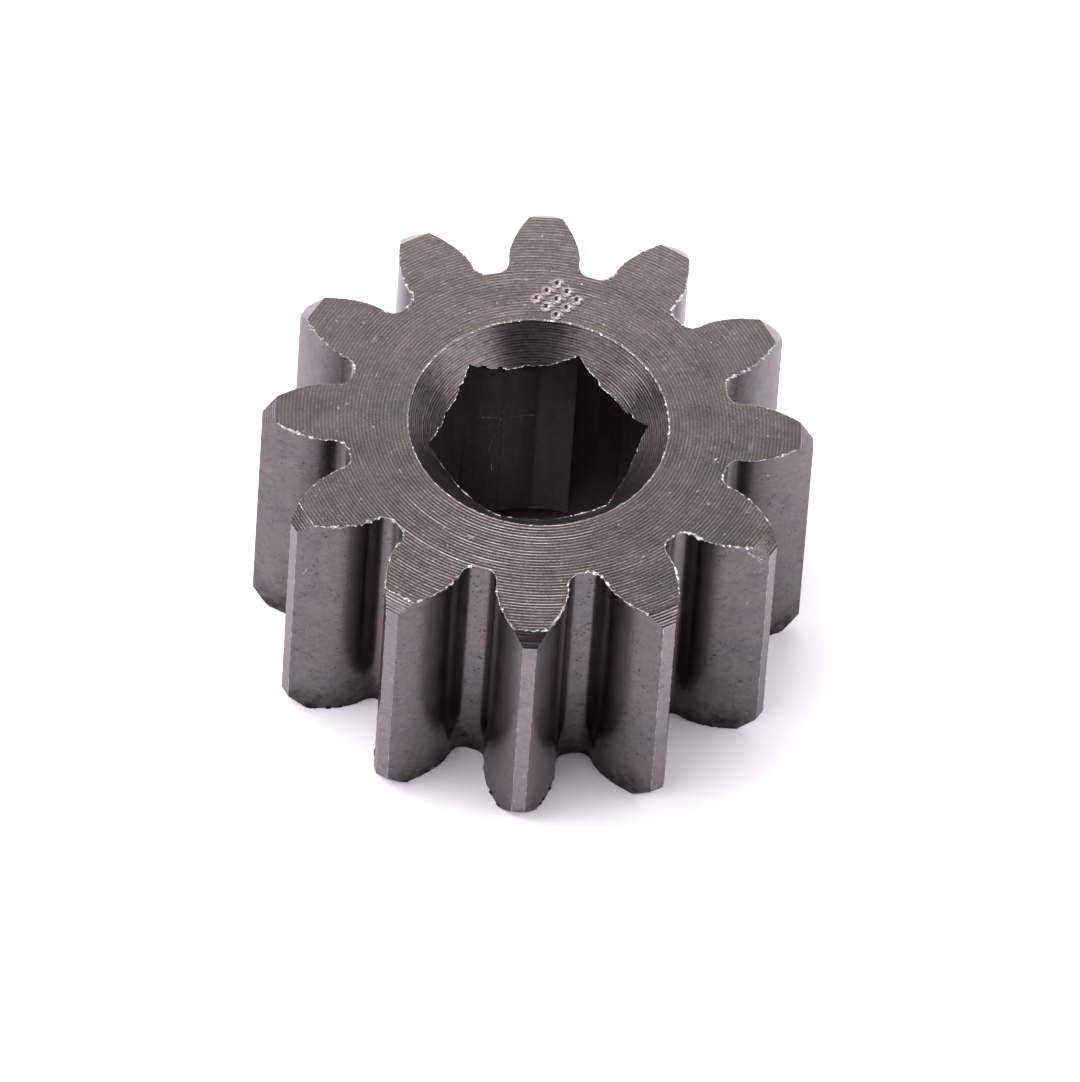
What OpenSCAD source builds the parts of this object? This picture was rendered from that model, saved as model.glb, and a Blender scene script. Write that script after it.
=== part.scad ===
// Sun gear: a one-piece spur pinion with a broached hexagonal bore, for a planetary gear train.
// It is a turned steel blank with chamfered tips, hobbed teeth and a countersink at each end of the bore.
// Millimetres, +Z up along the bore. The origin is the centre of the lower end face, a tooth points along +X.

/* [Teeth] */
// Number of teeth
teeth = 12; // [11:1:24]
// Module, the pitch diameter over the number of teeth
tooth_module = 2.5; // [2:0.25:5]
// Pressure angle of the flanks, in degrees
pressure_angle = 20; // [20:0.5:25]
// Profile shift in modules, which keeps the roots of so small a gear from being undercut
profile_shift = 0.4; // [0.35:0.05:0.6]
// Tooth height above the shifted reference circle, in modules
addendum = 1; // [0.8:0.05:1]
// Depth that the hob reaches below the shifted reference circle, in modules
hob_depth = 1.2; // [1.1:0.05:1.25]
// Radius of the hob's tip in modules, which shapes the root fillets
hob_tip_radius = 0.3; // [0.15:0.05:0.35]

/* [Blank] */
// Width of the gear from end face to end face
face_width = 19.85; // [10:0.05:60]
// Width of the upper tip chamfer, along the radius
top_chamfer_width = 0.9; // [0.2:0.05:1.5]
// Height of the upper tip chamfer, along the axis
top_chamfer_height = 0.85; // [0.2:0.05:1.5]
// Width of the lower tip chamfer, along the radius
bottom_chamfer_width = 1; // [0.2:0.05:1.5]
// Height of the lower tip chamfer, along the axis
bottom_chamfer_height = 1; // [0.2:0.05:1.5]

/* [Bore] */
// Hexagonal bore across its flats
across_flats = 12.85; // [8:0.05:14]
// Turn of the hexagon's corners from the teeth, in degrees
hexagon_turn = 9.6; // [0:0.1:30]
// How much wider the drilled pilot hole is than the hexagon across its flats
pilot_excess = 0.2; // [0.1:0.05:0.6]
// Diameter of each countersink at its end face
countersink_diameter = 17.5; // [17:0.1:20]
// Full angle of each countersink, in degrees
countersink_angle = 90; // [60:5:120]

/* [Hidden] */

steel = [0.42, 0.395, 0.39];

// Steps along each flank and each root fillet, and round a turned surface
flank_steps = 12;
fillet_steps = 8;
round_steps = 144;

// How far a cutter runs past the surface that it leaves
overrun = 1;

// Circles of the gear
pitch_radius = teeth * tooth_module / 2;
base_radius = pitch_radius * cos(pressure_angle);
tip_radius = pitch_radius + (addendum + profile_shift) * tooth_module;

// Centre of the rounding on the hob's tooth, from the pitch point: along the pitch line and across it
hob_radius = hob_tip_radius * tooth_module;
hob_x = tooth_module * PI / 4 - (hob_depth * tooth_module - hob_radius) * tan(pressure_angle)
    - hob_radius / cos(pressure_angle);
hob_y = (profile_shift - hob_depth) * tooth_module + hob_radius;

// Half angle of a tooth at the base circle, in degrees
pitch_thickness = tooth_module * (PI / 2 + 2 * profile_shift * tan(pressure_angle));
base_half_angle = degrees(pitch_thickness / (2 * pitch_radius)) + involute_angle(tan(pressure_angle));

function degrees(radians) = radians * 180 / PI;

// Angle in degrees that an involute has turned by, where its roll is t radians
function involute_angle(t) = degrees(t) - atan(t);

function polar(radius, angle) = radius * [cos(angle), sin(angle)];

// Roll at which an involute of the base circle reaches a radius
function roll_at(radius) = sqrt(pow(radius / base_radius, 2) - 1);

// Point of the flank at roll t. The middle of the tooth space lies along +X.
function flank_point(t) =
    polar(base_radius * sqrt(1 + t * t), 180 / teeth - base_half_angle + involute_angle(t));

// Point that the rounded tip of the hob cuts when the blank has rolled by an angle, in degrees
function fillet_point(roll) =
    let (
        along = hob_x - pitch_radius * roll * PI / 180,
        reach = 1 + hob_radius / norm([along, hob_y]),
        p = [pitch_radius + hob_y * reach, along * reach]
    )
    [p.x * cos(roll) - p.y * sin(roll), p.x * sin(roll) + p.y * cos(roll)];

// Root fillet, from the middle of the tooth space out to where the involute begins
fillet_first = degrees(hob_x / pitch_radius);
fillet_last = degrees((hob_x + hob_y / tan(pressure_angle)) / pitch_radius);
fillet = [
    for (i = [0:fillet_steps])
        fillet_point(fillet_first + (fillet_last - fillet_first) * i / fillet_steps)
];

// Flank, from the fillet to a little past the tips, and on outwards to clear the blank
flank_first = roll_at(norm(fillet[fillet_steps]));
flank_last = roll_at(tip_radius + 0.06 * tooth_module);
flank = [
    for (i = [1:flank_steps])
        flank_point(flank_first + (flank_last - flank_first) * i / flank_steps)
];
flank_end = flank[flank_steps - 1];
clear_point = flank_end * (tip_radius + overrun) / norm(flank_end);
space_side = concat(fillet, flank, [clear_point]);

module tooth_space() {
    last = len(space_side) - 1;
    polygon(concat(space_side, [for (i = [last:-1:0]) [space_side[i].x, -space_side[i].y]]));
}

module tooth_spaces() {
    for (i = [1:teeth])
        rotate((i - 0.5) * 360 / teeth)
            translate([0, 0, -overrun])
                linear_extrude(face_width + 2 * overrun)
                    tooth_space();
}

// Turned blank with its two tip chamfers
module blank() {
    rotate_extrude($fn = round_steps)
        polygon([
            [0, 0],
            [tip_radius - bottom_chamfer_width, 0],
            [tip_radius, bottom_chamfer_height],
            [tip_radius, face_width - top_chamfer_height],
            [tip_radius - top_chamfer_width, face_width],
            [0, face_width]
        ]);
}

// Cone that opens upwards and has the countersink's diameter at z = 0
module countersink() {
    slope = tan(countersink_angle / 2);
    outer = countersink_diameter / 2 + overrun * slope;
    inner = across_flats / 4;
    depth = (outer - inner) / slope;
    translate([0, 0, overrun - depth])
        cylinder(h = depth, r1 = inner, r2 = outer, $fn = round_steps);
}

// Drilled pilot hole, hexagon broached through it, and the countersinks
module bore() {
    translate([0, 0, -overrun]) {
        cylinder(h = face_width + 2 * overrun, d = across_flats + pilot_excess, $fn = round_steps);
        rotate(hexagon_turn)
            cylinder(h = face_width + 2 * overrun, d = across_flats / cos(30), $fn = 6);
    }
    translate([0, 0, face_width])
        countersink();
    mirror([0, 0, 1])
        countersink();
}

module sun_gear() {
    color(steel)
        difference() {
            blank();
            tooth_spaces();
            bore();
        }
}

sun_gear();
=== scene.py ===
import math

import bmesh
import bpy
import numpy as np
from mathutils import Matrix, Vector
from mathutils.geometry import delaunay_2d_cdt


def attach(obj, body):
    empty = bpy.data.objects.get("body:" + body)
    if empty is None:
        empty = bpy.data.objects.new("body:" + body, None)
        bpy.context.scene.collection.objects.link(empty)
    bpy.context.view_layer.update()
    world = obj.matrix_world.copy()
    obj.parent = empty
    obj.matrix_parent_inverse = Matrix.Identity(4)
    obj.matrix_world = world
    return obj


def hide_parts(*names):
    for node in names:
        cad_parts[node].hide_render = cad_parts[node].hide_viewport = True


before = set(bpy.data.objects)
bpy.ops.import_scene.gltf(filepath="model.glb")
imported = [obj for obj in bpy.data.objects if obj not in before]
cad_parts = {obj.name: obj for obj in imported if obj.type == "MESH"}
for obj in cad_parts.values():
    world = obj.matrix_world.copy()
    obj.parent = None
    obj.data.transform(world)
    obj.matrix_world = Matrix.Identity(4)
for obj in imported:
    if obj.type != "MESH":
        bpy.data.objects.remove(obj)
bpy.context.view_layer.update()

# Sizes of the gear in millimetres, as in the CAD source
TEETH, MODULE, PRESSURE, SHIFT = 12, 2.5, math.radians(20), 0.4
HOB_DEPTH, HOB_RADIUS = 1.2 * MODULE, 0.3 * MODULE
WIDTH, TIP, ROOT = 19.85, 18.5, 13.0
# Tip chamfers of the upper and the lower end: inner radius and depth
TOP_EDGE, TOP_DROP = 17.6, 0.85
LOW_EDGE, LOW_DROP = 17.5, 1.0
# Radii of the countersinks' rims, the hexagon's flats and the pilot hole, and the angle of a corner in degrees
SINK, FLAT, PILOT, HEX_TURN = 8.75, 6.425, 6.525, 9.6
# Distances between the lines of turning on the end faces, the tip chamfers and the countersinks
FEED, CHAMFER_FEED, SINK_FEED = 0.245, 0.15, 0.14

PITCH = TEETH * MODULE / 2
BASE = PITCH * math.cos(PRESSURE)
HALF_PITCH = math.pi / TEETH
HALF_AT_BASE = (math.pi / 2 + 2 * SHIFT * math.tan(PRESSURE)) / TEETH + math.tan(PRESSURE) - PRESSURE
EACH_TOOTH = [2 * HALF_PITCH * k for k in range(TEETH)]
EACH_SIXTH = [math.pi / 3 * k for k in range(6)]
# Directions of the middle of a flat and of the corner after it
FLAT_AT, CORNER_AT = math.radians(HEX_TURN + 30), math.radians(HEX_TURN + 60)

# The kinds of surface, in the order of the gear's materials, and those of the threads along its edges
FACE, CONE, CHAMFER, LAND, FLANK, BORE = range(6)
BRIGHT, CONTACT_SHADE = range(2)

# A millimetre in metres
MM = 0.001
# Points that agree to 1/2000 mm are joined
WELD = 2000
# Degrees between the points on a ring
RING_STEP = 2
# A sixth of the bore in degrees, from close to the middle of one flat to the next
SIXTH = (39, 99)
# A dent has close points out to this many times its radius
DENT_REACH = 1.4
# Edges in the bore that turn by more than this, in radians, are sharp
SHARP = 0.12
# Keeps rounding errors out of comparisons
TINY = 1e-6

# Dents in the upper face: x, y, radius, depth and height of the raised rim. The first nine are punched dots
DENTS = [(0.98 + 0.68 * (i - j), 10.55 + 0.68 * (i + j), 0.3, 0.085, 0.02)
         for i in (-1, 0, 1) for j in (-1, 0, 1)]
DENTS += [(11.89, -2.45, 0.07, 0.03, 0.01), (14.25, -1.28, 0.06, 0.03, 0.01), (14.24, -6.64, 0.13, 0, 0.006),
          (-4.29, -10.02, 0.08, 0.04, 0.01), (-11.12, 6.27, 0.09, 0.05, 0.01),
          (-10.90, 3.25, 0.07, 0.04, 0.01), (-1.63, 12.18, 0.07, 0.04, 0.01), (-1.19, 12.16, 0.07, 0.04, 0.01)]
# Directions (x, y) on the end faces in which the turning lines stand out more or less: weight and sharpness
LINE_STRENGTH = 0.35
LINE_DIRECTIONS = [((-0.25, -0.968), 1.7, 6), ((0, 1), 0.3, 2), ((-0.87, -0.5), -0.25, 12)]
# For each tooth, counted anticlockwise from +X: how strong the lines on its chamfers are, the share of the burr
# on its flanks, and the size of the burr across its tip
CHAMFER_LINES = np.array([0.3, 0.4, 0.4, 0.4, 0.4, 0.4, 0.4, 0.1, 0.9, 1.3, 1.2, 0.05])
FLANK_BURRS = np.array([1, 1, 1, 0.4, 1, 1, 0.75, 1, 1, 1, 1, 1])
TIP_BURRS = np.array([0.005] * 7 + [0.02, 0.06, 0.075] + [0.005] * 2)
# Scratches on the flanks: the tooth, its side, and the radius and height of each point of the path
SCRATCHES = [(11, -1, [(17.3, 19.45), (17.45, 19.2), (17.8, 19.0), (18.1, 18.6), (18.45, 18.5)]),
             (11, -1, [(17.5, 19.15), (17.85, 18.7), (18.15, 18.15), (18.45, 17.95)]),
             (11, -1, [(17.48, 13.99), (17.56, 13.80)]),
             (0, -1, [(15.52, 18.15), (16.1, 17.9), (16.67, 17.95)]),
             (7, 1, [(18.05, 14.63), (17.86, 15.23)])]
# Scratches in the bore: the angle in degrees and the height of each point
BORE_SCRATCHES = [[(117.4, 8.82), (111.0, 12.39)],
                  [(122.0, 12.65), (111.0, 12.39), (100.9, 12.30), (89.2, 12.38)],
                  [(111.5, 13.77), (109.8, 12.91)],
                  [(115.0, 7.40), (114.4, 6.62)]]
# Flanks with painted contact shade along their lower edge, where they stand on the floor: the tooth and its
# side
FLOOR_SHADED = [(7, 1), (8, -1), (8, 1), (9, -1), (9, 1)]
# Thin dark rings and dots: x, y, z, radius
RINGS = [(12.70, -1.20, WIDTH, 0.33), (11.85, -1.10, WIDTH, 0.05), (11.62, -1.80, WIDTH, 0.03),
         (14.53, -9.77, 5.23, 0.11), (8.13, -15.94, 11.63, 0.03)]
# Brown spots: x, y, z, radius
SPOTS = [(16.23, 0.13, WIDTH, 0.5), (15.95, -0.25, WIDTH, 0.3), (14.53, -9.77, 5.23, 0.16),
         (-8.3, -16.01, 7.75, 0.12)]


# Outline of a tooth

def half_angle(radius):
    """Half angle of a tooth where its flank is at this radius."""
    t = math.sqrt((radius / BASE) ** 2 - 1)
    return HALF_AT_BASE - (t - math.atan(t))


def fillet(steps):
    """Points (radius, angle from the tooth's middle) of the root fillet, from the root outwards."""
    x = MODULE * math.pi / 4 - (HOB_DEPTH - HOB_RADIUS) * math.tan(PRESSURE) - HOB_RADIUS / math.cos(PRESSURE)
    y = SHIFT * MODULE - HOB_DEPTH + HOB_RADIUS
    points = []
    for roll in np.linspace(x / PITCH, (x + y / math.tan(PRESSURE)) / PITCH, steps):
        along = x - PITCH * roll
        reach = 1 + HOB_RADIUS / math.hypot(along, y)
        p = complex(PITCH + y * reach, along * reach)
        points.append((abs(p), HALF_PITCH - roll - math.atan2(p.imag, p.real)))
    return points


def outline():
    """Points (radius, angle) of one side of a tooth, from the middle of the tooth space to the tip."""
    root = fillet(10)
    middle = [(root[0][0], HALF_PITCH), (root[0][0], (HALF_PITCH + root[0][1]) / 2)]
    first = math.sqrt((root[-1][0] / BASE) ** 2 - 1)
    last = math.sqrt((LOW_EDGE / BASE) ** 2 - 1)
    radii = [BASE * math.sqrt(1 + t * t) for t in np.linspace(first, last, 14)[1:]]
    radii += list(np.linspace(TOP_EDGE, TIP, 19))
    return middle + root + [(r, half_angle(r)) for r in radii]


SIDE = outline()


def side_to(edge):
    """The side's points out to the inner edge of a chamfer."""
    return [p for p in SIDE if p[0] < edge + TINY]


def nearest_tooth(angle):
    """Number of the tooth whose middle is nearest to an angle."""
    return np.round(angle / (2 * HALF_PITCH)).astype(int)


# Meshes

class Build:
    """Patches of nominal points, which are joined where they meet."""

    def __init__(self):
        self.points, self.faces, self.kinds, self.count = [], [], [], 0

    def add(self, points, faces, kind, turns=(0.0,)):
        """Adds a patch once for each turn about the axis."""
        points, faces = np.asarray(points, float), np.asarray(faces, int)
        for angle in turns:
            c, s = math.cos(angle), math.sin(angle)
            self.points.append(points @ np.array([[c, s, 0], [-s, c, 0], [0, 0, 1]]))
            self.faces.append(faces + self.count)
            self.kinds.append(np.full(len(faces), kind))
            self.count += len(points)

    def joined(self):
        """The points, the triangles and the kind of each triangle."""
        points = np.concatenate(self.points)
        kinds = np.concatenate(self.kinds)
        faces = np.concatenate(self.faces)
        keys = np.round(points * WELD).astype(np.int64)
        _, first, index = np.unique(keys, axis=0, return_index=True, return_inverse=True)
        return points[first], index.ravel()[faces], kinds


def polar(radius, angle, z):
    """Points (x, y, z) from cylindrical coordinates."""
    radius, angle, z = np.broadcast_arrays(radius, angle, z)
    return np.stack([radius * np.cos(angle), radius * np.sin(angle), z], -1)


def grid(points):
    """The triangles of a rectangular grid of points."""
    n, m = points.shape[:2]
    i = np.arange(n * m).reshape(n, m)
    a, b, c, d = i[:-1, :-1], i[1:, :-1], i[1:, 1:], i[:-1, 1:]
    faces = np.stack([np.stack([a, b, c], -1), np.stack([a, c, d], -1)], 2)
    return points.reshape(-1, 3), faces.reshape(-1, 3)


def fine_points(rings, spot, spacing=0.055):
    """Close points on the rings round a spot (radius, angle, size)."""
    radius, angle, size = spot
    reach = DENT_REACH * size
    steps = np.arange(-reach, reach, spacing) / radius
    r, a = np.meshgrid(rings[np.abs(rings - radius) < reach], angle + steps, indexing="ij")
    keep = np.hypot(r - radius, (a - angle) * radius) < reach
    return np.column_stack([r[keep], a[keep]])


def enclosed(points, edge):
    """Which points (radius, angle) lie inside a closed line."""
    inside = np.zeros(len(points), bool)
    for (r0, a0), (r1, a1) in zip(edge[:-1], edge[1:]):
        if r0 != r1:
            crosses = (r0 > points[:, 0]) != (r1 > points[:, 0])
            at = a0 + (points[:, 0] - r0) * (a1 - a0) / (r1 - r0)
            inside ^= crosses & (points[:, 1] < at)
    return inside


def ringed(border, rings, angles, spots=()):
    """Triangles inside a border of (radius, angle) points. Their other points lie on rings, closer round spots,
    and a little away from the border. The radius is stretched, so that triangles are longer along the rings."""
    gap, stretch = 0.045, 8
    border = [tuple(p) for p in border]
    edge = np.array(border + border[:1])
    wall = np.concatenate([np.linspace(a, b, 9)[:-1] for a, b in zip(edge[:-1], edge[1:])])
    wall_xy = polar(wall[:, 0], wall[:, 1], 0)[:, :2]
    r, a = np.meshgrid(rings, angles, indexing="ij")
    free = np.stack([r.ravel(), a.ravel()], -1)
    free = free[enclosed(free, edge)]
    xy = polar(free[:, 0], free[:, 1], 0)[:, :2]
    near = np.array([np.hypot(*(wall_xy - p).T).min() for p in xy])
    free = free[near > gap]
    for spot in spots:
        away = np.hypot(free[:, 0] - spot[0], (free[:, 1] - spot[1]) * spot[0])
        free = np.concatenate([free[away > DENT_REACH * spot[2] + 0.03], fine_points(rings, spot)])
    points = np.concatenate([np.array(border), free])
    middle = points[:, 0].mean()
    flat = [Vector((a * middle, r * stretch)) for r, a in points]
    corners, _, triangles, *_ = delaunay_2d_cdt(flat, [], [list(range(len(border)))], 1, 1e-7)
    return np.array([(v.y / stretch, v.x / middle) for v in corners]), np.array(triangles)


def face_patch(z, edge, step, spots=()):
    """A tooth's share of an end face, whose outline stops at the chamfer's edge."""
    side = side_to(edge)
    rings = np.arange(SINK, edge - step / 2, step)
    angles = np.radians(np.arange(-15, 15.1, RING_STEP))
    tip = [(edge, side[-1][1] * t) for t in np.linspace(1, -1, 9)[1:-1]]
    low = [(r, HALF_PITCH) for r in rings if r < side[0][0] - step / 2]
    border = low + side + tip
    border += [(r, -a) for r, a in reversed(side)] + [(r, -a) for r, a in reversed(low[1:])]
    border += [(SINK, a) for a in angles[:-1]]
    found, faces = ringed(border, rings[1:], angles[1:-1], spots)
    return polar(found[:, 0], found[:, 1], z), faces


def hexagon(angle):
    """Radius of the bore's edge in a direction."""
    away = (angle - FLAT_AT + math.pi / 6) % (math.pi / 3) - math.pi / 6
    return max(PILOT, FLAT / math.cos(away))


def bore_edge():
    """Points (radius, angle) of a sixth of the bore's edge: the second half of a flat's arc, the flat up to the
    corner, the next flat, and the first half of its arc."""
    first, last = (math.radians(a) for a in SIXTH)
    arc = math.acos(FLAT / PILOT)
    next_flat = 2 * CORNER_AT - FLAT_AT
    across = [math.atan(t) for t in np.linspace(math.tan(arc), math.tan(math.pi / 6), 15)]
    angles = [*np.linspace(first, FLAT_AT + arc, 7)]
    angles += [FLAT_AT + a for a in across[1:]]
    angles += [next_flat - a for a in across[-2::-1]]
    angles += [*np.linspace(next_flat - arc, last, 7)][1:]
    return [(hexagon(a), a) for a in angles]


def sink_patch(z, way, step):
    """A sixth of a countersink, from its rim down to the edge of the bore. way is 1 on top and -1 below."""
    edge = bore_edge()
    rings = np.linspace(SINK, FLAT, round((SINK - FLAT) / step) + 1)
    angles = np.radians(np.arange(SIXTH[0], SIXTH[1] + 0.1, RING_STEP))
    border = edge + [(r, angles[-1]) for r in rings[::-1] if edge[-1][0] + 0.02 < r < SINK]
    border += [(SINK, a) for a in angles[::-1]]
    border += [(r, angles[0]) for r in rings if edge[0][0] + 0.02 < r < SINK]
    found, faces = ringed(border, rings[1:], angles[1:-1])
    return polar(found[:, 0], found[:, 1], z - way * (SINK - found[:, 0])), faces


def dents_by_tooth():
    """The dents on each tooth's share of the face: radius, angle from the tooth's middle, and size."""
    found = {}
    for x, y, size, *_ in DENTS:
        at = math.atan2(y, x)
        tooth = nearest_tooth(at) % TEETH
        angle = (at - EACH_TOOTH[tooth] + math.pi) % (2 * math.pi) - math.pi
        found.setdefault(tooth, []).append((math.hypot(x, y), angle, size))
    return found


def build_gear():
    """The gear's nominal surfaces."""
    b = Build()
    # Flanks, whose levels lie closer together towards the ends
    side = np.array(SIDE)
    level = (1 - np.cos(np.linspace(0, np.pi, 21))) / 2
    level = 0.5 * level + 0.5 * np.linspace(0, 1, 21)
    low = np.maximum(side[:, 0] - LOW_EDGE, 0) * LOW_DROP / (TIP - LOW_EDGE)
    high = WIDTH - np.maximum(side[:, 0] - TOP_EDGE, 0) * TOP_DROP / (TIP - TOP_EDGE)
    z = low[:, None] + (high - low)[:, None] * level
    for way in (1, -1):
        b.add(*grid(polar(side[:, :1], way * side[:, 1:], z)), FLANK, EACH_TOOTH)
    # Tooth tips and their chamfers
    across = np.linspace(-1, 1, 9)
    b.add(*grid(polar(TIP, across[:, None] * side[-1, 1], z[-1][None])), LAND, EACH_TOOTH)
    for edge, height in ((TOP_EDGE, high), (LOW_EDGE, low)):
        rows = side[:, 0] > edge - TINY
        patch = polar(side[rows, :1], side[rows, 1:] * across, height[rows][:, None])
        b.add(*grid(patch), CHAMFER, EACH_TOOTH)
    # End faces, with several rings to each line of turning on the upper one
    dents = dents_by_tooth()
    plain = [a for k, a in enumerate(EACH_TOOTH) if k not in dents]
    b.add(*face_patch(WIDTH, TOP_EDGE, FEED / 7), FACE, plain)
    for k, spots in dents.items():
        b.add(*face_patch(WIDTH, TOP_EDGE, FEED / 7, spots), FACE, [EACH_TOOTH[k]])
    b.add(*face_patch(0, LOW_EDGE, FEED / 2), FACE, EACH_TOOTH)
    # Countersinks and bore
    b.add(*sink_patch(WIDTH, 1, SINK_FEED / 6), CONE, EACH_SIXTH)
    b.add(*sink_patch(0, -1, 0.05), CONE, EACH_SIXTH)
    edge = np.array(bore_edge())
    drop = SINK - edge[:, 0]
    level = np.array([0, 0.02, *np.linspace(0.1, 0.9, 9), 0.98, 1])
    z = drop[:, None] + (WIDTH - 2 * drop)[:, None] * level
    b.add(*grid(polar(edge[:, :1], edge[:, 1:], z)), BORE, EACH_SIXTH)
    return b.joined()


# Tool marks, which move the points along the normals of their surfaces

def noise(p, seed):
    """Smooth noise between -1 and 1 at points p, with a cell size of 1, from a hash of each cell's corners."""
    p = np.asarray(p, float)
    cell = np.floor(p).astype(np.int64)
    f = p - cell
    f = f * f * (3 - 2 * f)
    total = np.zeros(len(p))
    for corner in np.ndindex(2, 2, 2):
        c = cell + corner
        h = (c[:, 0] * 73856093) ^ (c[:, 1] * 19349663) ^ (c[:, 2] * 83492791) ^ (seed * 2654435761)
        h &= 0xFFFFFFFF
        h = ((h ^ (h >> 15)) * 2246822519) & 0xFFFFFFFF
        h = ((h ^ (h >> 13)) * 3266489917) & 0xFFFFFFFF
        h ^= h >> 16
        weight = np.prod(np.where(corner, f, 1 - f), axis=1)
        total += weight * ((h & 0xFFFF) / 32767.5 - 1)
    return total


def turned(p, distance, feed, low, high, seed, peak, fall):
    """Height of the ridges that a tool leaves, one for each turn. A ridge rises steeply up to its peak and
    falls off more slowly, both given as shares of the feed, and its own height lies between low and high."""
    r = np.hypot(p[:, 0], p[:, 1])
    u = distance / feed + TINY
    n = np.floor(u)
    t = u - n
    # The height of a ridge changes on its way round, and from one ridge to the next
    way = p[:, :2] / r[:, None] * 5.0
    share = noise(np.column_stack([way * 0.8, n * 7.3]), seed)
    ridge = low * (1 + 0.6 * noise(np.column_stack([way * 2.5, n * 5.1]), seed + 1))
    ridge += (high - low) * np.clip(3.0 * share - 1.1, 0, 1)
    slope = np.clip(1 - (t - peak) / fall, 0, 1) ** 1.3
    return ridge * (np.where(t < peak, t / peak, slope) - 0.2)


def dented(p, height):
    """The height of the upper face, with its dents and their raised rims added."""
    for x, y, size, depth, rim in DENTS:
        d = np.hypot(p[:, 0] - x, p[:, 1] - y) / size
        height = height + (rim * np.exp(-((d - 1.1) / 0.2) ** 2) - depth * np.clip(1 - d, 0, 1) ** 0.8)
    return height


def chips(points):
    """How far the ragged edge of the bore is broken back, at points near it."""
    flat = points * (1, 1, 0) + (0, 0, 0.5)
    depth = 0.16 * noise(flat * 1.9, 601) + 0.11 * noise(flat * 4.3, 602)
    return np.clip(depth, 0, 0.2)


def touched(faces, kinds, kind, count):
    """Which of the points belong to a surface of one kind."""
    mask = np.zeros(count, bool)
    mask[faces[kinds == kind].ravel()] = True
    return mask


def marked(points, faces, kinds):
    """The gear's points with the marks of turning, hobbing and broaching."""
    out = points.copy()
    r, a = np.hypot(points[:, 0], points[:, 1]), np.arctan2(points[:, 1], points[:, 0])
    way = np.column_stack([points[:, 0] / r, points[:, 1] / r, np.zeros(len(r))])
    upper = points[:, 2] > WIDTH / 2
    ends = np.column_stack([np.zeros((len(r), 2)), np.where(upper, 1.0, -1.0)])
    on = {kind: touched(faces, kinds, kind, len(points)) for kind in (FACE, CONE, CHAMFER, LAND, FLANK, BORE)}

    def push(mask, normal, height):
        normal = normal / np.linalg.norm(normal, axis=1)[:, None]
        out[mask] += normal * height[:, None]

    for top, edge, seed in ((True, TOP_EDGE, 11), (False, LOW_EDGE, 31)):
        m = on[FACE] & (upper == top)
        height = turned(points[m], r[m] - SINK, FEED, 0.0017, 0.0068, seed, peak=2 / 7, fall=0.57)
        height *= np.clip((edge - r[m]) / 0.05, 0, 1)
        strength = LINE_STRENGTH
        for to, weight, sharpness in LINE_DIRECTIONS:
            strength = strength + weight * np.clip(way[m, :2] @ to, 0, 1) ** sharpness
        height *= strength
        push(m, ends[m], dented(points[m], height) if top else height)

    # The hexagon's upper edge is broken back along the countersink
    edge = np.array([hexagon(angle) for angle in a])
    on_edge = np.abs(WIDTH - points[:, 2] - (SINK - edge)) < 0.01
    near = np.where(on[CONE], np.clip(1 - (r - edge) / 0.4, 0, 1), on_edge * 1.0)
    m = (on[CONE] | on[BORE]) & upper & (near > 0)
    broken = (chips(way[m] * edge[m, None]) * near[m])[:, None]
    out[m] += broken * (way[m] + (0, 0, 1))

    m = on[CONE]
    height = turned(points[m], SINK - r[m], SINK_FEED, 0.0021, 0.0135, 51, peak=1 / 3, fall=0.66)
    push(m, ends[m] - way[m], height)

    m = on[CHAMFER]
    distance = r[m] - np.where(upper[m], TOP_EDGE, LOW_EDGE)
    height = turned(points[m], distance, CHAMFER_FEED, 0.0105, 0.014, 71, peak=1 / 3, fall=0.34)
    push(m, ends[m] + way[m], height * CHAMFER_LINES[nearest_tooth(a[m]) % TEETH])

    m = on[LAND]
    push(m, way[m], 0.004 * noise(points[m] * (1.5, 1.5, 4), 91) - 0.004)

    # A flank's normal is taken as straight across the tooth, and as radial at the root
    m = on[FLANK]
    tooth = nearest_tooth(a[m]) * 2 * HALF_PITCH
    across = np.column_stack([-np.sin(tooth), np.cos(tooth), 0 * tooth]) * np.sign(a[m] - tooth)[:, None]
    share = np.clip((r[m] - ROOT) / 1.2, 0, 1)[:, None]
    height = 0.0012 * noise(points[m] * (1.7, 1.7, 0.12), 101)
    height += 0.0007 * noise(points[m] * (3.1, 3.1, 0.9), 103)
    push(m, across * share + way[m] * (1 - share), height)

    m = on[BORE]
    push(m, -way[m], 0.008 * noise(points[m] * (2.2, 2.2, 0.1), 111))
    return out


# Burrs, scratches and painted contact shade: thin ragged threads along the edges and the marks

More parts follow.
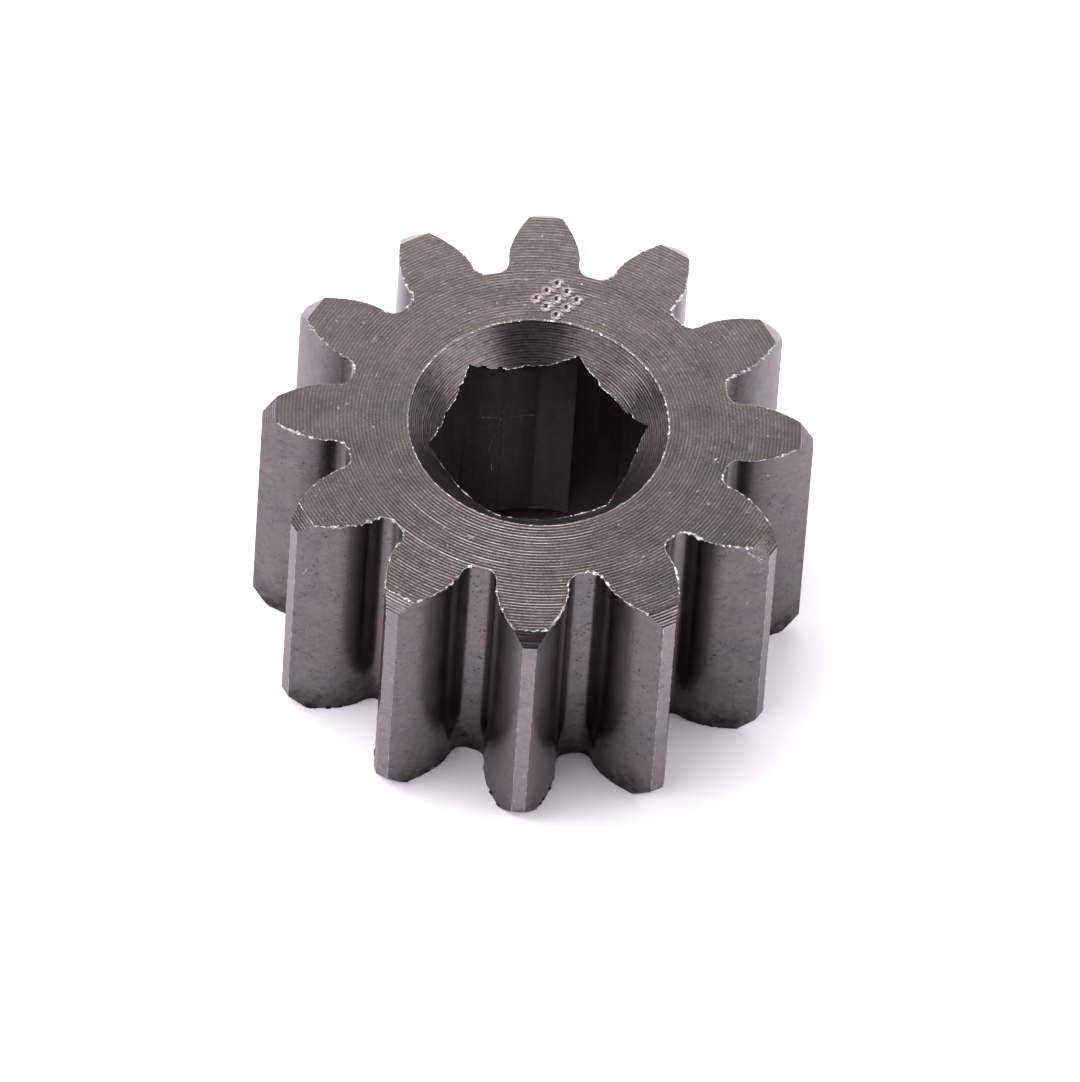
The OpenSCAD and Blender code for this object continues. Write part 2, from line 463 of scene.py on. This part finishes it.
def wire(path, across, upward, size, closed, seed, least=0.28):
    """A thin ragged thread along a path, closed round its section and at its ends. size may differ from point
    to point, and least is the share of it that is always there."""
    path, across, upward = (np.asarray(v, float) for v in (path, across, upward))
    n = len(path)
    size = np.broadcast_to(size, n)
    # The thread swells here and there and wanders sideways, and the corners of its section are ragged
    bead = np.clip(1.1 * noise(path * 1.7, seed) + 3.0 * noise(path * 5.2, seed + 1) - 0.1, 0, 1.3)
    grow = size * (least + bead)
    jog = 0.9 * size[:, None] * np.column_stack([noise(path * 6.5, seed + 2), noise(path * 6.5, seed + 3)])
    corners = []
    for i, turn in enumerate(np.radians([20, 92, 164, 236, 308])):
        grown = grow * (1 + 0.45 * noise(path * 15, seed + 5 + i))
        reach = grown[:, None] * (math.cos(turn) * across + 0.8 * math.sin(turn) * upward)
        corners.append(path + reach + jog[:, :1] * across + jog[:, 1:] * upward)
    points = np.stack(corners, 1)
    k = points.shape[1]
    i = np.arange(n * k).reshape(n, k)
    rows = i if closed else i[:-1]
    after = np.roll(i, -1, 0) if closed else i[1:]
    a, b, c, d = rows, after, np.roll(after, -1, 1), np.roll(rows, -1, 1)
    faces = [np.stack([a, b, c], -1).reshape(-1, 3), np.stack([a, c, d], -1).reshape(-1, 3)]
    if not closed:
        for end in (i[0][::-1], i[-1]):
            faces.append(np.array([(end[0], end[j], end[j + 1]) for j in range(1, k - 1)]))
    return points.reshape(-1, 3), np.concatenate(faces)


def spaced(points, step, closed):
    """Evenly spaced points along a polyline, and the directions there."""
    points = np.asarray(points, float)
    if closed:
        points = np.vstack([points, points[:1]])
    length = np.r_[0, np.cumsum(np.linalg.norm(np.diff(points, axis=0), axis=1))]
    n = max(4, round(length[-1] / step))
    at = np.linspace(0, length[-1], n, endpoint=not closed)
    found = np.column_stack([np.interp(at, length, points[:, k]) for k in range(3)])
    ahead = np.roll(found, -1, 0) - np.roll(found, 1, 0) if closed else np.gradient(found, axis=0)
    return found, ahead / np.linalg.norm(ahead, axis=1)[:, None]


def repeated(direction, path):
    """A direction, once for each point of a path."""
    return np.tile(np.asarray(direction, float), (len(path), 1))


def gear_loop(z, edge):
    """The outline of an end face, all round the gear."""
    side = side_to(edge)
    tip = [(edge, side[-1][1] * t) for t in (0.5, 0, -0.5)]
    tooth = np.array(side[1:] + tip + [(r, -a) for r, a in reversed(side)])
    return np.concatenate([polar(tooth[:, 0], tooth[:, 1] - 2 * HALF_PITCH * k, z) for k in range(TEETH)])


def burr_size(path, edge):
    """Size of the burr round an end face: more on flanks that face the front, little across most tips."""
    r, a = np.hypot(path[:, 0], path[:, 1]), np.arctan2(path[:, 1], path[:, 0])
    tooth = nearest_tooth(a)
    front = -np.cos(a) * np.sign(a - tooth * 2 * HALF_PITCH)
    size = 0.06 + 0.02 * front + 0.014 * noise(path * 0.8, 77)
    return np.where(r > edge - 0.02, TIP_BURRS[tooth % TEETH], size * FLANK_BURRS[tooth % TEETH])


def hidden(path, size, lift):
    """The path, let into the steel where there is hardly any burr."""
    r = np.hypot(path[:, 0], path[:, 1])
    inward = -path * (1, 1, 0) / r[:, None] - lift
    return path + np.where(size < 0.01, 0.03, 0.0)[:, None] * inward


def add_burrs(b):
    """The burrs round the end faces, the countersinks' rims and the bore, and along the tooth tips."""
    for z, edge, step, share, seed in ((WIDTH, TOP_EDGE, 0.05, 1.0, 201), (0, LOW_EDGE, 0.12, 0.5, 221)):
        path, ahead = spaced(gear_loop(z, edge), step, True)
        lift = repeated((0, 0, 1 if z else -1), path)
        size = burr_size(path, edge) * share
        b.add(*wire(hidden(path, size, lift), np.cross(ahead, lift), lift, size, True, seed), BRIGHT)
    for z, way, seed in ((WIDTH, 1, 241), (0, -1, 261)):
        a = np.linspace(0, 2 * np.pi, 641)[:-1]
        path = polar(SINK, a, z)
        lift = repeated((0, 0, way), path)
        b.add(*wire(path, polar(1, a, 0), lift, 0.036 + 0.02 * np.cos(a - 0.9), True, seed), BRIGHT)
        sixth = np.array(bore_edge())[:-1]
        r, a = np.concatenate([sixth + (0, k * np.pi / 3) for k in range(6)]).T
        edge = polar(r, a, z - way * (SINK - r))
        if z:
            edge += chips(edge)[:, None] * (polar(1, a, 0) + (0, 0, 1))
        path, ahead = spaced(edge, 0.06, True)
        lift = repeated((0, 0, way), path)
        uneven = 0.036 * np.clip(0.55 + 1.6 * noise(path * 0.6, 78) + 0.06 * path[:, 1], 0.15, 1.3)
        b.add(*wire(path, np.cross(ahead, lift), lift, uneven if z else 0.012, True, seed + 8), BRIGHT)
    for k in range(TEETH):
        for way in (1, -1):
            at = 2 * HALF_PITCH * k + way * SIDE[-1][1]
            path, _ = spaced([polar(TIP, at, LOW_DROP), polar(TIP, at, WIDTH - TOP_DROP)], 0.25, False)
            out = repeated(polar(1, at, 0), path)
            side = np.cross(out, repeated((0, 0, 1), path))
            b.add(*wire(path - 0.012 * out, out, side, 0.011, False, 300 + 2 * k + (way > 0)), BRIGHT)


def add_scratches(b):
    """The raised lips of the scratches on the flanks and in the bore."""
    for number, (tooth, side, points) in enumerate(SCRATCHES):
        angles = [EACH_TOOTH[tooth] + side * half_angle(r) for r, _ in points]
        path, ahead = spaced([polar(r, a, z) for (r, z), a in zip(points, angles)], 0.06, False)
        facing = angles[0] + side * (math.pi / 2 - math.acos(BASE / points[0][0]))
        out = repeated(polar(1, facing, 0), path)
        b.add(*wire(path, np.cross(ahead, out), out, 0.024, False, 400 + 10 * number, least=0.6), BRIGHT)
    for number, points in enumerate(BORE_SCRATCHES):
        angles = np.radians([a for a, _ in points])
        path, ahead = spaced([polar(hexagon(a), a, z) for a, (_, z) in zip(angles, points)], 0.1, False)
        out = repeated(polar(-1, math.radians(HEX_TURN + 90), 0), path)
        b.add(*wire(path, np.cross(ahead, out), out, 0.014, False, 500 + 10 * number, least=0.6), BRIGHT)


def add_contact_shade(b):
    """Painted contact shade: dark ragged threads along the lower edges of some flanks, where they stand on the
    floor.
    """
    for number, (tooth, side) in enumerate(FLOOR_SHADED):
        radii = np.linspace(14.3, 17.4, 9)
        edge = [polar(r, EACH_TOOTH[tooth] + side * half_angle(r), 0) for r in radii]
        path, ahead = spaced(edge, 0.08, False)
        lift = repeated((0, 0, 1), path)
        b.add(*wire(path, np.cross(ahead, lift), lift, 0.05, False, 600 + 10 * number), CONTACT_SHADE)


def build_wires():
    """All the threads, as one mesh."""
    b = Build()
    add_burrs(b)
    add_scratches(b)
    add_contact_shade(b)
    return b.joined()


def make_object(name, points, faces, kinds, materials, rounded):
    """A mesh object in metres, with sharp edges where two kinds of surface meet and at the hexagon's corners.
    rounded says which faces are shaded smoothly."""
    mesh = bpy.data.meshes.new(name)
    mesh.from_pydata((points * MM).tolist(), [], faces.tolist())
    for m in materials:
        mesh.materials.append(m)
    mesh.polygons.foreach_set("material_index", kinds.astype(np.int32))
    mesh.polygons.foreach_set("use_smooth", np.ones(len(faces), bool) & rounded)
    bm = bmesh.new()
    bm.from_mesh(mesh)
    bmesh.ops.recalc_face_normals(bm, faces=bm.faces)
    for e in bm.edges:
        met = {f.material_index for f in e.link_faces}
        if len(met) > 1 or (met == {BORE} and e.calc_face_angle() > SHARP):
            e.smooth = False
    bm.to_mesh(mesh)
    bm.free()
    made = bpy.data.objects.new(name, mesh)
    bpy.context.scene.collection.objects.link(made)
    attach(made, "root")
    return made


# Materials

class Nodes:
    """Adds nodes to a shader's tree. An input that is a socket is linked, and any other is set on the node."""

    def __init__(self, tree):
        self.tree = tree

    def node(self, kind, inputs=None, **settings):
        made = self.tree.nodes.new("ShaderNode" + kind)
        for key, value in settings.items():
            setattr(made, key, value)
        for key, value in (inputs or {}).items():
            if isinstance(value, bpy.types.NodeSocket):
                self.tree.links.new(value, made.inputs[key])
            else:
                made.inputs[key].default_value = value
        return made

    def maths(self, operation, a, b=0.0, c=0.0):
        return self.node("Math", {0: a, 1: b, 2: c}, operation=operation).outputs[0]

    def plus(self, a, b):
        return self.maths("ADD", a, b)

    def minus(self, a, b):
        return self.maths("SUBTRACT", a, b)

    def times(self, a, b):
        return self.maths("MULTIPLY", a, b)

    def most(self, a, b):
        return self.maths("MAXIMUM", a, b)

    def apart(self, a, b):
        """How far two values are apart."""
        return self.maths("ABSOLUTE", self.minus(a, b))

    def blended(self, value, weight, base):
        """value times weight, added to base."""
        return self.maths("MULTIPLY_ADD", value, weight, base)

    def total(self, first, *terms):
        """Adds (value, weight) pairs to a first number, where a value's middle is 0.5."""
        for value, weight in terms:
            first = self.blended(self.minus(value, 0.5), weight, first)
        return first

    def ramp(self, value, low, high, to_low=0.0, to_high=1.0):
        """Maps a value from one range to another, and holds it there."""
        inputs = {"Value": value, "From Min": low, "From Max": high, "To Min": to_low, "To Max": to_high}
        return self.node("MapRange", inputs).outputs[0]

    def vector(self, x, y, z):
        return self.node("CombineXYZ", {0: x, 1: y, 2: z}).outputs[0]

    def scaled(self, vector, factor):
        return self.node("VectorMath", {0: vector, "Scale": factor}, operation="SCALE").outputs["Vector"]

    def vectors(self, operation, a, b=None):
        """The result of a vector operation, which is a number for a length or a distance."""
        made = self.node("VectorMath", {0: a} if b is None else {0: a, 1: b}, operation=operation)
        return made.outputs["Value" if operation in ("LENGTH", "DISTANCE") else "Vector"]

    def texture(self, place, scale, detail):
        return self.node("TexNoise", {"Vector": place, "Scale": scale, "Detail": detail}).outputs["Fac"]

    def cells(self, place, scale, **settings):
        """Distances from the centres, or from the edges, of random cells."""
        inputs = {"Vector": place, "Scale": scale, "Randomness": 1.0}
        return self.node("TexVoronoi", inputs, **settings).outputs["Distance"]


# Scales of the broad and the narrow streaks, which run round the axis on an end face, on a cone and on a tip,
# and along it on a flank
STREAKS = {"face": (3.0, 12.0), "cone": (6.0, 12.0), "tip": (3.0, 12.0), "axis": (2.2, 7.0)}


class Surface(Nodes):
    """The tone of a steel surface, which is a factor for its colour, and the height of its relief. Each method
    adds one kind of mark, and some of them paint light or shade into the tone. Places are in millimetres."""

    def __init__(self, tree, streaks, contrast, stain):
        super().__init__(tree)
        self.place = self.scaled(self.node("TexCoord").outputs["Object"], 1 / MM)
        self.x, y, self.z = self.node("SeparateXYZ", {0: self.place}).outputs
        flat = self.vector(self.x, y, 0.0)
        self.radius = self.vectors("LENGTH", flat)
        self.way = self.node("SeparateXYZ", {0: self.vectors("NORMALIZE", flat)}).outputs[:2]
        self.run = self.z if streaks == "tip" else self.radius
        if streaks == "axis":
            fine = self.vectors("MULTIPLY", self.place, (1, 1, 0.05))
        else:
            fine = self.round_axis(0.9, self.run)
        broad_scale, narrow_scale = STREAKS[streaks]
        broad = self.texture(fine, broad_scale, 1.0)
        self.narrow = self.texture(fine, narrow_scale, 2.0)
        self.mottle = self.texture(self.place, 0.5, 4.0)
        grain = self.texture(self.place, 11.0, 2.0)
        self.tone = self.total(1.0, (self.narrow, contrast), (broad, 0.5 * contrast), (grain, 0.46),
                               (self.mottle, 5 * stain), (self.texture(self.place, 2.5, 3.0), 6 * stain))
        self.height = self.total(0.0, (self.narrow, 1.0), (grain, 0.3))

    def round_axis(self, scale, third):
        """Texture coordinates that turn with the direction from the axis."""
        return self.vector(self.times(self.way[0], scale), self.times(self.way[1], scale), third)

    def mark(self, mask, tone, sunk=False):
        """Adds to the tone where a mask is 1. A sunk mark lies deeper than the surface round it."""
        self.tone = self.blended(mask, tone, self.tone)
        if sunk:
            self.height = self.minus(self.height, mask)

    def shade(self, factor):
        self.tone = self.times(self.tone, factor)

    def dots(self, scale, size, softness):
        """Round dots at random places."""
        return self.ramp(self.minus(self.cells(self.place, scale), size), 0.0, softness, 1.0, 0.0)

    def turning(self, feed, start, crest_highlight, valley_shade):
        """Lines of turning, whose light is painted into the tone: each turn has a painted highlight on its
        crest, stronger and weaker along its way and broken into dashes, and painted shade in its valley."""
        u = self.maths("DIVIDE", self.minus(self.run, start), feed)
        turn, t = self.maths("FLOOR", u), self.maths("FRACT", u)
        crest = self.ramp(self.apart(t, 0.16), 0.02, 0.27, 1.0, 0.0)
        uneven = self.texture(self.round_axis(2.5, self.times(turn, 3.7)), 1.0, 1.0)
        dashes = self.texture(self.round_axis(65.0, self.times(turn, 5.3)), 1.0, 1.0)
        share = self.blended(self.ramp(uneven, 0.4, 0.68), 0.4, 0.5)
        strong = self.times(crest, self.most(self.total(share, (dashes, 2.8)), 0.0))
        # Painted highlight on the crests, in place of the light they catch
        self.tone = self.blended(strong, crest_highlight, self.minus(self.tone, 0.22 * crest_highlight))
        self.height = self.blended(strong, 0.35, self.height)
        # Painted shade in the valleys
        self.mark(self.ramp(self.apart(t, 0.72), 0.1, 0.24, 1.0, 0.0), -valley_shade)

    def pits(self, amount, at_root):
        """Dark round pits, of different sizes from place to place, and more of them at the root."""
        size = self.ramp(self.texture(self.place, 1.1, 1.0), 0.38, 0.66, 0.0, 0.2 * amount)
        if at_root:
            size = self.plus(size, self.ramp(self.radius, ROOT + 0.1, ROOT + 0.3, 0.07, 0.0))
        self.mark(self.dots(2.6, size, 0.04), -0.6, sunk=True)

    def scratches(self, depth):
        """Fine bent scratches, here and there."""
        bent = self.total(0.0, (self.texture(self.place, 1.3, 2.0), 1.2))
        shifted = self.vectors("ADD", self.place, self.vector(bent, bent, bent))
        edges = self.cells(shifted, 0.7, feature="DISTANCE_TO_EDGE")
        some = self.ramp(self.texture(self.place, 0.9, 3.0), 0.53, 0.58)
        self.mark(self.times(self.ramp(edges, 0.012, 0.03, 1.0, 0.0), some), -depth, sunk=True)

    def specks(self, amount):
        """Bright specks."""
        size = self.ramp(self.texture(self.place, 2.3, 0.0), 0.47, 0.72, 0.0, 0.11)
        self.mark(self.dots(1.7, size, 0.03), amount)

    def rings(self):
        """The thin dark rings and dots."""
        for x, y, z, size in RINGS:
            away = self.vectors("DISTANCE", self.place, (x, y, z))
            away = self.total(away, (self.texture(self.place, 2.5, 2.0), 0.75 * size))
            self.mark(self.ramp(self.apart(away, size), 0.02, 0.06, 1.0, 0.0), -0.4 if z == WIDTH else -0.7)

    def shade_and_dirt_below(self, share, first, last):
        """Paints shade on the surface, to a share of its tone below the first height and less up to the last.
        On the lower countersink it is painted shade; on the flanks it is painted shade near the floor and
        partly dirt.
        """
        level = self.total(self.z, (self.mottle, 5.0), (self.texture(self.place, 1.6, 3.0), 3.0))
        self.shade(self.ramp(level, first, last, share, 1.0))

    def painted_root_shade(self, share):
        """Paints shade on the flanks near the root, where the teeth shade each other, but not on the root
        itself.
        """
        inner = self.ramp(self.radius, ROOT + 0.1, ROOT + 0.4, 1.0, share)
        self.shade(self.most(inner, self.ramp(self.radius, 14.6, 16.2, share, 1.0)))

    def arcs_and_painted_side_light(self, share):
        """Darkens what the pilot hole left of the bore, and paints light on the bore's left side and shade on
        its right side.
        """
        self.shade(self.ramp(self.radius, PILOT + 0.01, PILOT + 0.05, share, 1.0))
        # Painted light on the bore's left side and painted shade on its right
        self.shade(self.ramp(self.x, -2.2, 1.2, 1.35, 0.92))

    def dirt(self, amount):
        """Darkens blotches, more of them lower down, and says where they are."""
        depth = self.blended(self.z, -0.13, self.texture(self.place, 1.4, 4.0))
        blotch = self.ramp(depth, 0.3, 0.56)
        self.shade(self.blended(blotch, -amount, 1.0))
        return blotch

    def brown(self, blotch, spots):
        """Where the surface is tinged with brown: in stains, in dirt and on the brown spots."""
        where = self.ramp(self.mottle, 0.5, 0.64)
        if blotch:
            where = self.most(where, self.times(blotch, 2.5))
        for x, y, z, size in SPOTS if spots else ():
            away = self.vectors("DISTANCE", self.place, (x, y, z))
            away = self.total(away, (self.texture(self.place, 4.0, 2.0), 0.5))
            where = self.most(where, self.ramp(away, 0.6 * size, size, 1.5, 0.0))
        return where


def steel(name, colour, roughness, streaks, contrast, bump, feed=0.0, start=0.0, crest_highlight=0.0, valley_shade=0.0,
          pits=0.5, stain=0.08, scratches=0.0, specks=0.0, low=1.0, span=(0.2, 3.0), root=1.0, pilot=1.0,
          dirt=0.0, spots=False, metallic=1.0):
    """Bare steel with fine marks that run one way, which streaks names. contrast and stain say how uneven its
    tone is, and bump how deep its relief is, in thousandths of a millimetre. feed is the distance between the
    lines of turning and start the place of the first; the next two arguments give the strength of the painted
    highlight on their crests and of the painted shade in their valleys. low paints shade on the bottom over the
    heights of span, which on the flanks is partly dirt; root paints shade on the flanks near the roots; and
    pilot darkens the arcs in the bore, which also gets painted light on its left side and painted shade on its
    right."""
    material = bpy.data.materials.new(name)
    material.use_nodes = True
    tree = material.node_tree
    s = Surface(tree, streaks, contrast, stain)
    if feed:
        s.turning(feed, start, crest_highlight, valley_shade)
    s.pits(pits, root < 1)
    if scratches:
        s.scratches(scratches)
    if specks:
        s.specks(specks)
    if streaks == "face":
        s.tone = s.plus(s.tone, s.ramp(s.radius, SINK + 0.06, SINK + 0.2, 0.25, 0.0))
    if spots:
        s.rings()
    s.tone = s.most(s.tone, 0.1)
    # Painted shade towards the bottom: in the lower countersink, and near the floor on the flanks, where it is
    # partly dirt
    if low < 1:
        s.shade_and_dirt_below(low, *span)
    # Painted shade on the flanks near the roots
    if root < 1:
        s.painted_root_shade(root)
    # Darker arcs, and painted light and shade across the bore
    if pilot < 1:
        s.arcs_and_painted_side_light(pilot)
    blotch = s.dirt(dirt) if dirt else None
    base = s.scaled(colour, s.tone)
    tinged = s.vectors("MULTIPLY", base, (1.0, 0.965, 0.935))
    # Inputs 6 and 7 are the two colours
    inputs = {"Factor": s.brown(blotch, spots), 6: base, 7: tinged}
    mix = s.node("Mix", inputs, data_type="RGBA", clamp_factor=False)
    rough = s.ramp(s.plus(s.mottle, s.narrow), 0.7, 1.3, roughness - 0.02, roughness + 0.02)
    relief = s.node("Bump", {"Height": s.height, "Strength": 1.0, "Distance": bump * 1e-6})
    shader = tree.nodes["Principled BSDF"]
    shader.inputs["Metallic"].default_value = metallic
    tree.links.new(mix.outputs[2], shader.inputs["Base Color"])
    tree.links.new(rough, shader.inputs["Roughness"])
    tree.links.new(relief.outputs[0], shader.inputs["Normal"])
    return material


materials = [
    steel("turned_face", (0.505, 0.434, 0.43), 0.23, "face", contrast=0.04, bump=3, feed=FEED, start=SINK,
          crest_highlight=0.34, valley_shade=0.12, pits=0.8, stain=0.06, specks=1.6, spots=True),
    # Its low and span paint shade on the lower countersink
    steel("turned_countersink", (0.252, 0.211, 0.229), 0.30, "cone", contrast=0.85, bump=4, feed=-SINK_FEED,
          start=SINK, crest_highlight=0.8, valley_shade=0.1, specks=1.2, low=0.16, span=(6.0, 12.0), metallic=0.95),
    steel("turned_chamfer", (0.427, 0.374, 0.399), 0.22, "tip", contrast=0.22, bump=2,
          feed=-CHAMFER_FEED * TOP_DROP / (TIP - TOP_EDGE), start=WIDTH, crest_highlight=0.15, valley_shade=0.12),
    steel("turned_land", (0.307, 0.275, 0.281), 0.28, "tip", contrast=0.18, bump=3, specks=0.8, dirt=0.5),
    # Its low paints shade near the floor, partly dirt, and its root paints shade near the roots
    steel("hobbed_flank", (0.218, 0.194, 0.195), 0.24, "axis", contrast=0.14, bump=2.5, pits=0.9, stain=0.1,
          scratches=0.3, low=0.6, root=0.53, dirt=0.55, spots=True),
    steel("broached_bore", (0.115, 0.102, 0.1), 0.36, "axis", contrast=0.5, bump=6, pilot=0.78, metallic=0.85),
]
# The burrs are bare steel, made near white and only partly metallic so that they shine from every side: partly
# a painted glint
glinting_burr = steel("burr_steel_glint", (1.0, 0.95, 0.95), 0.25, "axis", contrast=0.3, bump=4, pits=0.0, stain=0.05,
               metallic=0.8)
# Near-black steel for the threads of painted contact shade
contact_shade = steel("contact_shade", (0.05, 0.045, 0.042), 0.4, "axis", contrast=0.3, bump=4, metallic=0.3)

points, faces, kinds = build_gear()
rounded = ~np.isin(kinds, (FACE, CHAMFER))
gear = make_object("machined_gear", marked(points, faces, kinds), faces, kinds, materials, rounded)
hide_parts("sun_gear")
# One mesh for the burrs, the scratches' lips and the threads of painted contact shade
make_object("edge_burrs", *build_wires(), [glinting_burr, contact_shade], False)


# Floor, lights and camera

# The floor is a disc, 12 m across
floor_mesh = bpy.data.meshes.new("floor")
ring = [(6 * math.cos(a), 6 * math.sin(a), 0) for a in np.linspace(0, 2 * math.pi, 65)[:-1]]
floor_mesh.from_pydata(ring, [], [list(range(64))])
floor = bpy.data.objects.new("floor", floor_mesh)
bpy.context.scene.collection.objects.link(floor)

# The paper is a pale grey under the lamps. It is brighter in reflections, and to the camera, but not within
# 8.4 mm of the axis, so that it stays dark in the bore
PAPER, CAMERA_GAIN, GLOSS_GAIN = 0.84, 1.79, 0.76
paper = bpy.data.materials.new("white_paper")
paper.use_nodes = True
paper.node_tree.nodes.clear()
nodes = Nodes(paper.node_tree)
rays = nodes.node("LightPath").outputs
away = nodes.vectors("LENGTH", nodes.node("TexCoord").outputs["Object"])
shade = nodes.blended(rays["Is Camera Ray"], nodes.ramp(away, 0.0084, 0.0088, 0.0, CAMERA_GAIN), PAPER)
shade = nodes.blended(rays["Is Glossy Ray"], GLOSS_GAIN, shade)
shade = nodes.blended(rays["Is Transmission Ray"], GLOSS_GAIN, shade)
diffuse = nodes.node("BsdfDiffuse", {"Color": nodes.scaled((1.0, 0.957, 1.035), shade)})
nodes.node("OutputMaterial", {"Surface": diffuse.outputs[0]})
floor_mesh.materials.append(paper)

world = bpy.data.worlds.new("studio")
bpy.context.scene.world = world
world.use_nodes = True
world.node_tree.nodes["Background"].inputs["Color"].default_value = (1, 1, 1, 1)
world.node_tree.nodes["Background"].inputs["Strength"].default_value = 0.02

# Rectangular lamps that face the gear: azimuth from the camera's side to its right and elevation in degrees,
# width and height in metres, and radiance
LAMP_DISTANCE = 0.6
SOFTBOXES = {"right": (90, 34.6, 0.40, 0.24, 2.1),
             "right_front": (55, 36, 0.22, 0.24, 1.5),
             "back_right": (135, 25, 0.43, 0.50, 0.7),
             "back": (180, 25, 0.45, 0.50, 1.64),
             "back_left": (225, 14, 0.49, 0.24, 0.48),
             "high_left": (225, 61, 0.24, 0.24, 2.8),
             "front": (0, 41, 0.40, 0.24, 0.08),
             "top": (270, 79, 0.30, 0.30, 0.5),
             "left": (270, 49, 0.33, 0.52, 2.0),
             "left_front": (315, 49, 0.33, 0.52, 0.9)}


def towards(azimuth, elevation):
    """The direction at an azimuth and an elevation in radians. Azimuth 0 is the camera's side."""
    level = math.cos(elevation)
    return Vector((math.sin(azimuth) * level, -math.cos(azimuth) * level, math.sin(elevation)))


for name, (azimuth, elevation, width, height, radiance) in SOFTBOXES.items():
    away = towards(math.radians(azimuth), math.radians(elevation))
    lamp = bpy.data.lights.new(name + "_softbox", "AREA")
    lamp.shape, lamp.size, lamp.size_y = "RECTANGLE", width, height
    lamp.energy = radiance * math.pi * width * height
    softbox = bpy.data.objects.new(name + "_softbox", lamp)
    softbox.location = away * LAMP_DISTANCE + Vector((0, 0, 0.01))
    softbox.rotation_mode = "QUATERNION"
    softbox.rotation_quaternion = away.to_track_quat("Z", "Y")
    softbox.visible_camera = False
    bpy.context.scene.collection.objects.link(softbox)

# The camera as fitted to the photograph: its angles in degrees, its focal length and the picture's height in
# pixels, and its place in millimetres to its right, up and back
ELEVATION, ROLL, AZIMUTH = 52.066, 4.152, -1.638
FOCAL, PICTURE_HEIGHT, SENSOR = 22130, 1082, 36
RIGHT, UP, BACK = 0.990, 4.238, 1497.25
roll, azimuth = math.radians(ROLL), math.radians(AZIMUTH)
back = towards(azimuth, math.radians(ELEVATION))
right = Vector((math.cos(azimuth), math.sin(azimuth), 0))
up = back.cross(right)
right, up = math.cos(roll) * right + math.sin(roll) * up, math.cos(roll) * up - math.sin(roll) * right
camera = bpy.data.objects.new("camera", bpy.data.cameras.new("camera"))
camera.data.sensor_width = SENSOR
camera.data.lens = FOCAL * SENSOR / PICTURE_HEIGHT
camera.data.clip_start, camera.data.clip_end = 0.05, 20
place = MM * (RIGHT * right + UP * up + BACK * back)
camera.matrix_world = Matrix.Translation(place) @ Matrix((right, up, back)).transposed().to_4x4()
bpy.context.scene.collection.objects.link(camera)
bpy.context.scene.camera = camera
bpy.context.scene.view_settings.view_transform = "Standard"
